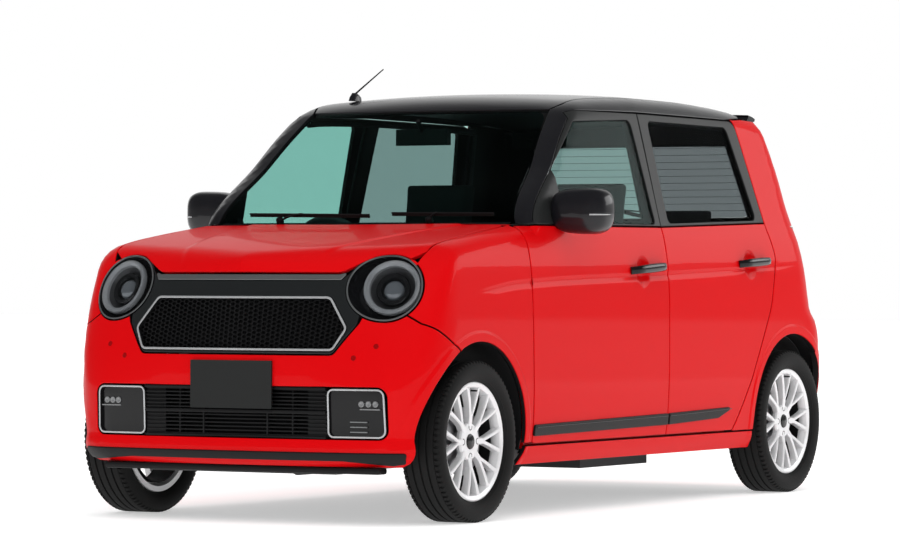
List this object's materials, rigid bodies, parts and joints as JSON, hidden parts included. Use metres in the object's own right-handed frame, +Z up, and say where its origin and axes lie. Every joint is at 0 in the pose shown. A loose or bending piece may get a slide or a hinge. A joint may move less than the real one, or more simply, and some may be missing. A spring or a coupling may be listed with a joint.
{
  "type": "kei car",
  "caption": "Small five-door city car with round headlamps, a contrasting black roof and doors, bonnet and tailgate that open.",
  "frame": {"origin": "on the ground below the middle of the car's box", "axes": "+Z up, -Y towards the nose, +X towards the car's left side"},
  "size_m": [1.7842, 3.3949, 1.6427],
  "materials": {
    "body_red": "gloss",
    "roof_black": "gloss",
    "window_glass": "gloss",
    "grille_dark": "gloss",
    "lamp_lens": "gloss",
    "tyre_rubber": "matte",
    "wheel_alloy": "satin",
    "chassis_steel": "matte",
    "engine_metal": "matte",
    "trim_black": "matte",
    "seat_cloth": "matte"
  },
  "bodies": {
    "body": {"dashboard": "trim_black", "engine_block": "engine_metal", "exhaust": "chassis_steel", "floor_pan": "chassis_steel", "fog_lamps": "grille_dark", "front_bumper": "body_red", "front_plate": "grille_dark", "front_seats": "seat_cloth", "front_struts": "chassis_steel", "front_subframe": "chassis_steel", "front_wings": "body_red", "fuel_tank": "trim_black", "grille_panel": "grille_dark", "headlamps": "lamp_lens", "lower_grille": "grille_dark", "rear_axle": "chassis_steel", "rear_bumper": "body_red", "rear_seat": "seat_cloth", "roof_panel": "roof_black", "room_mirror": "trim_black", "side_frame_left": "body_red", "side_frame_right": "body_red", "tail_lamps": "lamp_lens", "windscreen": "window_glass", "wipers": "trim_black"},
    "front_door_left": {"front_door_left": "body_red", "front_door_glass_left": "window_glass"},
    "rear_door_left": {"rear_door_left": "body_red", "rear_door_glass_left": "window_glass"},
    "knuckle_left": {"steering_knuckle_left": "chassis_steel"},
    "front_wheel_left": {"front_tyre_left": "tyre_rubber", "front_rim_left": "wheel_alloy"},
    "rear_wheel_left": {"rear_tyre_left": "tyre_rubber", "rear_rim_left": "wheel_alloy"},
    "front_door_right": {"front_door_right": "body_red", "front_door_glass_right": "window_glass"},
    "rear_door_right": {"rear_door_right": "body_red", "rear_door_glass_right": "window_glass"},
    "knuckle_right": {"steering_knuckle_right": "chassis_steel"},
    "front_wheel_right": {"front_tyre_right": "tyre_rubber", "front_rim_right": "wheel_alloy"},
    "rear_wheel_right": {"rear_tyre_right": "tyre_rubber", "rear_rim_right": "wheel_alloy"},
    "bonnet": {"bonnet": "body_red"},
    "tailgate": {"tailgate": "body_red", "tailgate_glass": "window_glass", "rear_spoiler": "roof_black", "rear_plate": "grille_dark"},
    "steering_wheel": {"steering_wheel": "trim_black"}
  },
  "joints": [
    {"name": "front_door_left_hinge", "type": "hinge", "parent": "body", "child": "front_door_left", "pos_m": [0.7375, -0.884, 0.65], "axis": [0, 0, -1], "range_deg": [0, 65]},
    {"name": "rear_door_left_hinge", "type": "hinge", "parent": "body", "child": "rear_door_left", "pos_m": [0.7375, 0.19, 0.65], "axis": [0, 0, -1], "range_deg": [0, 75]},
    {"name": "front_door_right_hinge", "type": "hinge", "parent": "body", "child": "front_door_right", "pos_m": [-0.7375, -0.884, 0.65], "axis": [0, 0, 1], "range_deg": [0, 65]},
    {"name": "rear_door_right_hinge", "type": "hinge", "parent": "body", "child": "rear_door_right", "pos_m": [-0.7375, 0.19, 0.65], "axis": [0, 0, 1], "range_deg": [0, 75]},
    {"name": "steer_left", "type": "hinge", "parent": "body", "child": "knuckle_left", "pos_m": [0.57221, -1.2525, 0.28], "axis": [-0.1488, 0, 0.9889], "range_deg": [-32, 32]},
    {"name": "steer_right", "type": "hinge", "parent": "body", "child": "knuckle_right", "pos_m": [-0.57221, -1.2525, 0.28], "axis": [0.1488, 0, 0.9889], "range_deg": [-32, 32]},
    {"name": "front_wheel_left_spin", "type": "hinge", "parent": "knuckle_left", "child": "front_wheel_left", "pos_m": [0.6525, -1.2525, 0.28], "axis": [1, 0, 0], "continuous": true},
    {"name": "rear_wheel_left_spin", "type": "hinge", "parent": "body", "child": "rear_wheel_left", "pos_m": [0.6525, 1.2675, 0.28], "axis": [1, 0, 0], "continuous": true},
    {"name": "front_wheel_right_spin", "type": "hinge", "parent": "knuckle_right", "child": "front_wheel_right", "pos_m": [-0.6525, -1.2525, 0.28], "axis": [1, 0, 0], "continuous": true},
    {"name": "rear_wheel_right_spin", "type": "hinge", "parent": "body", "child": "rear_wheel_right", "pos_m": [-0.6525, 1.2675, 0.28], "axis": [1, 0, 0], "continuous": true},
    {"name": "steering_wheel_turn", "type": "hinge", "parent": "body", "child": "steering_wheel", "pos_m": [-0.33, -0.455, 0.905], "axis": [0, 0.9135, 0.4067], "range_deg": [-480, 480]},
    {"name": "bonnet_hinge", "type": "hinge", "parent": "body", "child": "bonnet", "pos_m": [0, -0.846, 1.036], "axis": [-1, 0, 0], "range_deg": [0, 50]},
    {"name": "tailgate_hinge", "type": "hinge", "parent": "body", "child": "tailgate", "pos_m": [0, 1.29, 1.5], "axis": [1, 0, 0], "range_deg": [0, 80]}
  ],
  "couplings": [
    {"joint": "steer_right", "follows": "steer_left", "ratio": 1},
    {"joint": "steering_wheel_turn", "follows": "steer_left", "ratio": 15}
  ]
}
